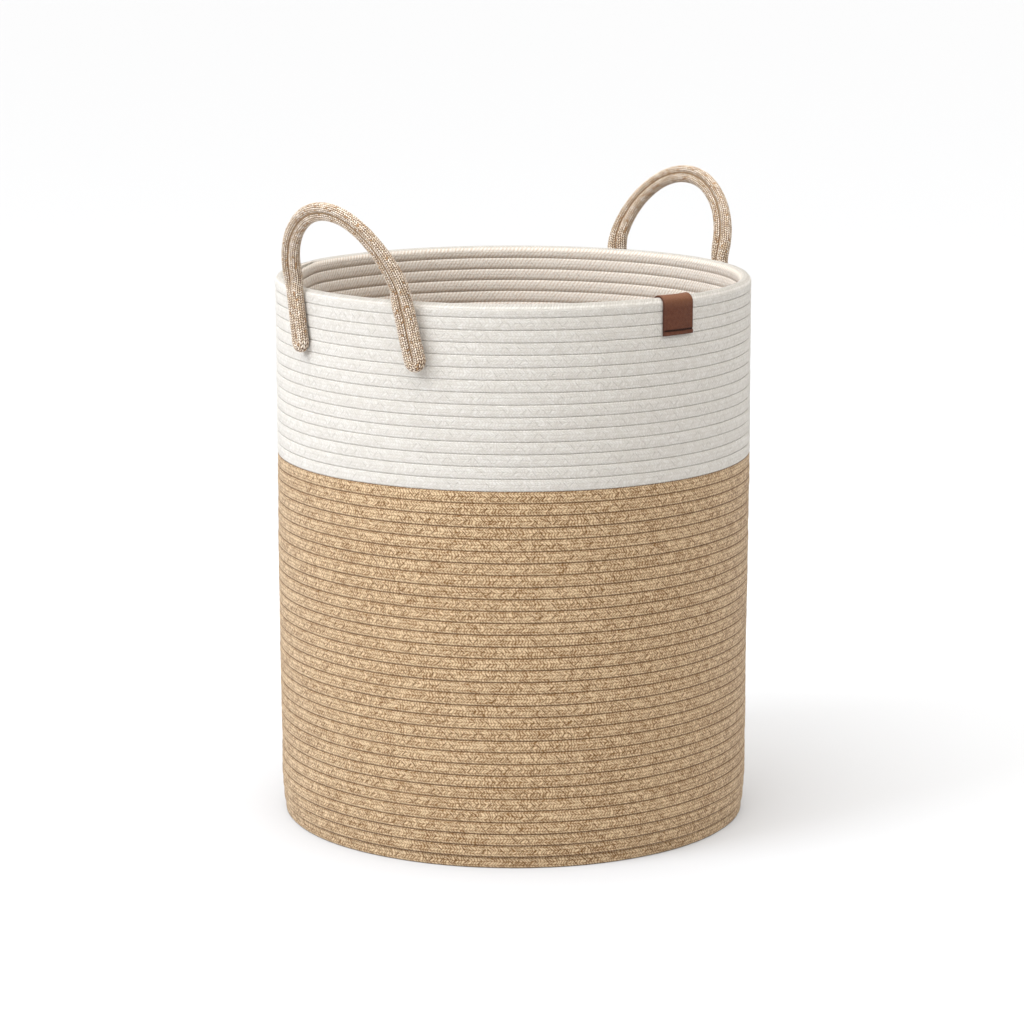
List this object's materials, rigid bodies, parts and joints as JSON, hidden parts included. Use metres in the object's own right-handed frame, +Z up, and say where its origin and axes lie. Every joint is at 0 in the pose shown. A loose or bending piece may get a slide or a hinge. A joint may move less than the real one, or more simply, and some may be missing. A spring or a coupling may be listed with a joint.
{
  "type": "laundry basket",
  "caption": "Round coiled-rope laundry basket, white over tan, with two standing doubled-rope handles and a leather tag folded over the rim.",
  "frame": {"origin": "on the floor under the centre of the basket", "axes": "+Z up along the basket's axis, +X towards the right handle, -Y towards the side with the leather tag"},
  "size_m": [0.4516, 0.4022, 0.5387],
  "materials": {
    "jute_rope": "matt braided jute",
    "jute_thread": "matt twisted thread",
    "cotton_rope": "matt braided cotton",
    "cotton_thread": "matt twisted thread",
    "handle_rope": "matt heather braid of cream and brown yarn",
    "handle_thread": "matt twisted thread",
    "leather": "smooth brown leather with a soft sheen",
    "tag_thread": "waxed dark thread"
  },
  "bodies": {
    "basket": {"base_coil": "jute_rope", "base_seam_thread": "jute_thread", "jute_wall": "jute_rope", "jute_seam_thread": "jute_thread", "cotton_wall": "cotton_rope", "cotton_seam_thread": "cotton_thread", "leather_tag": "leather", "tag_stitches": "tag_thread", "left_front_leg": "handle_rope", "left_back_leg": "handle_rope", "right_front_leg": "handle_rope", "right_back_leg": "handle_rope", "left_front_leg_stitches": "handle_thread", "left_back_leg_stitches": "handle_thread", "right_front_leg_stitches": "handle_thread", "right_back_leg_stitches": "handle_thread"},
    "left_handle": {"left_loop_outer_strand": "handle_rope", "left_loop_inner_strand": "handle_rope", "left_loop_seam_thread": "handle_thread"},
    "right_handle": {"right_loop_outer_strand": "handle_rope", "right_loop_inner_strand": "handle_rope", "right_loop_seam_thread": "handle_thread"}
  },
  "joints": [
    {"name": "left_handle_bend", "type": "hinge", "parent": "basket", "child": "left_handle", "pos_m": [-0.19613, 0, 0.466], "axis": [0, 1, 0], "range_deg": [-70, 110], "stiffness_Nm_per_rad": 0.3, "springref_deg": 0.36},
    {"name": "right_handle_bend", "type": "hinge", "parent": "basket", "child": "right_handle", "pos_m": [0.19613, 0, 0.466], "axis": [0, -1, 0], "range_deg": [-70, 110], "stiffness_Nm_per_rad": 0.3, "springref_deg": 0.36}
  ]
}
